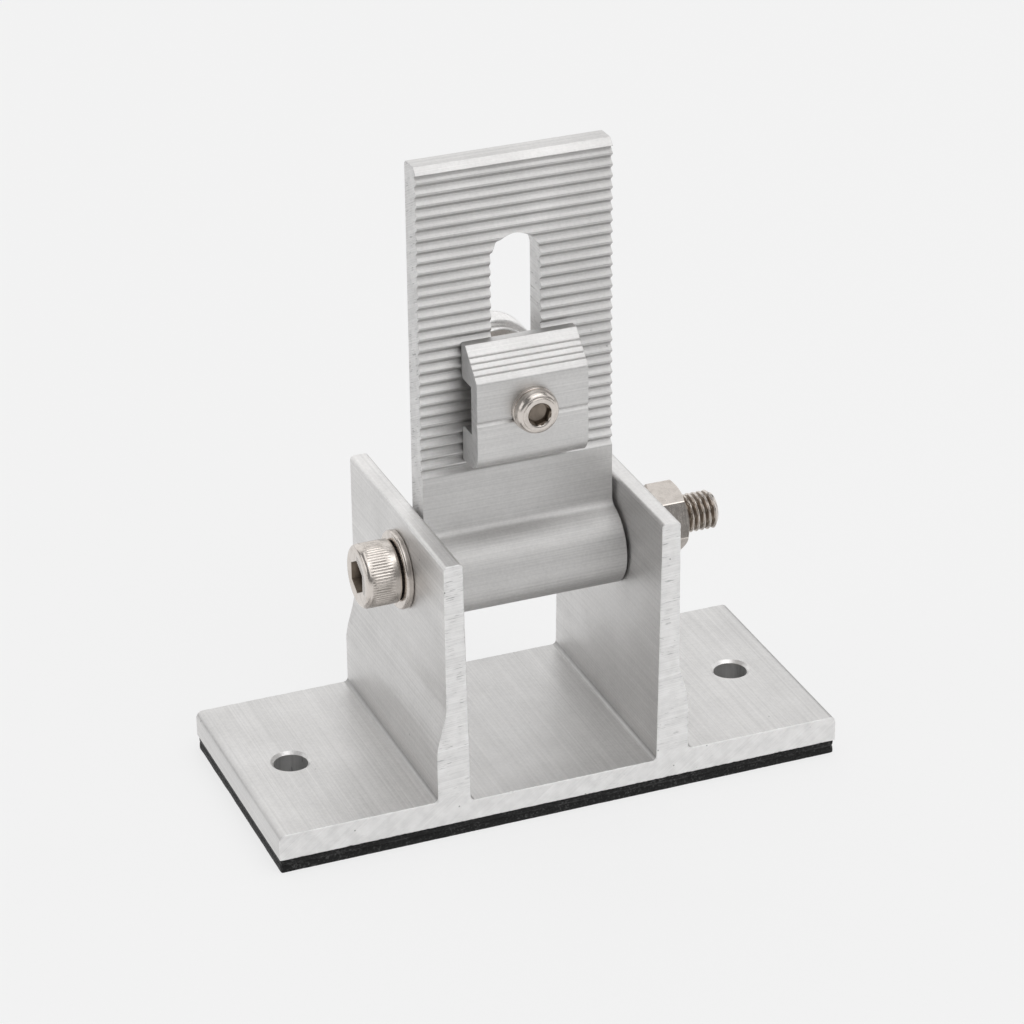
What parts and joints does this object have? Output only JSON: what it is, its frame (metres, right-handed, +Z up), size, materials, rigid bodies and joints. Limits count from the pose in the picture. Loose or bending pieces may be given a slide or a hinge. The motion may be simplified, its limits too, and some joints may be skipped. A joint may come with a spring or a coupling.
{
  "type": "solar panel tilt leg",
  "caption": "Hinged aluminium tilt leg for a solar panel: a ribbed, slotted upright with a sliding clamp block, bolted between the ears of a base plate on a rubber pad.",
  "frame": {"origin": "middle of the rubber pad's underside, where the leg stands", "axes": "+X along the base plate towards the nut, +Y through the base's depth to the back, +Z up the upright"},
  "size_m": [0.12, 0.053, 0.1324],
  "materials": {
    "mill_aluminium": "mill-finish extrusion with saw-cut ends",
    "block_aluminium": "satin extrusion, slightly darker",
    "stainless_steel": "bright stainless",
    "black_rubber": "matt black sheet"
  },
  "bodies": {
    "base": {"base_bracket": "mill_aluminium", "rubber_pad": "black_rubber", "pivot_bolt": "stainless_steel", "head_washer": "stainless_steel", "nut_washer": "stainless_steel", "nut_spring_washer": "stainless_steel", "pivot_nut": "stainless_steel"},
    "leg": {"tilt_leg": "mill_aluminium"},
    "clamp": {"clamp_block": "block_aluminium", "clamp_screw": "stainless_steel", "screw_spring_washer": "stainless_steel", "wide_washer": "stainless_steel", "knurled_nut": "stainless_steel"}
  },
  "joints": [
    {"name": "leg_tilt", "type": "hinge", "parent": "base", "child": "leg", "pos_m": [0, -0.0022, 0.0484], "axis": [1, 0, 0], "range_deg": [-90, 90]},
    {"name": "clamp_slide", "type": "slide", "parent": "leg", "child": "clamp", "axis": [0, 0, 1], "range_m": [-0.0078, 0.0306]}
  ]
}
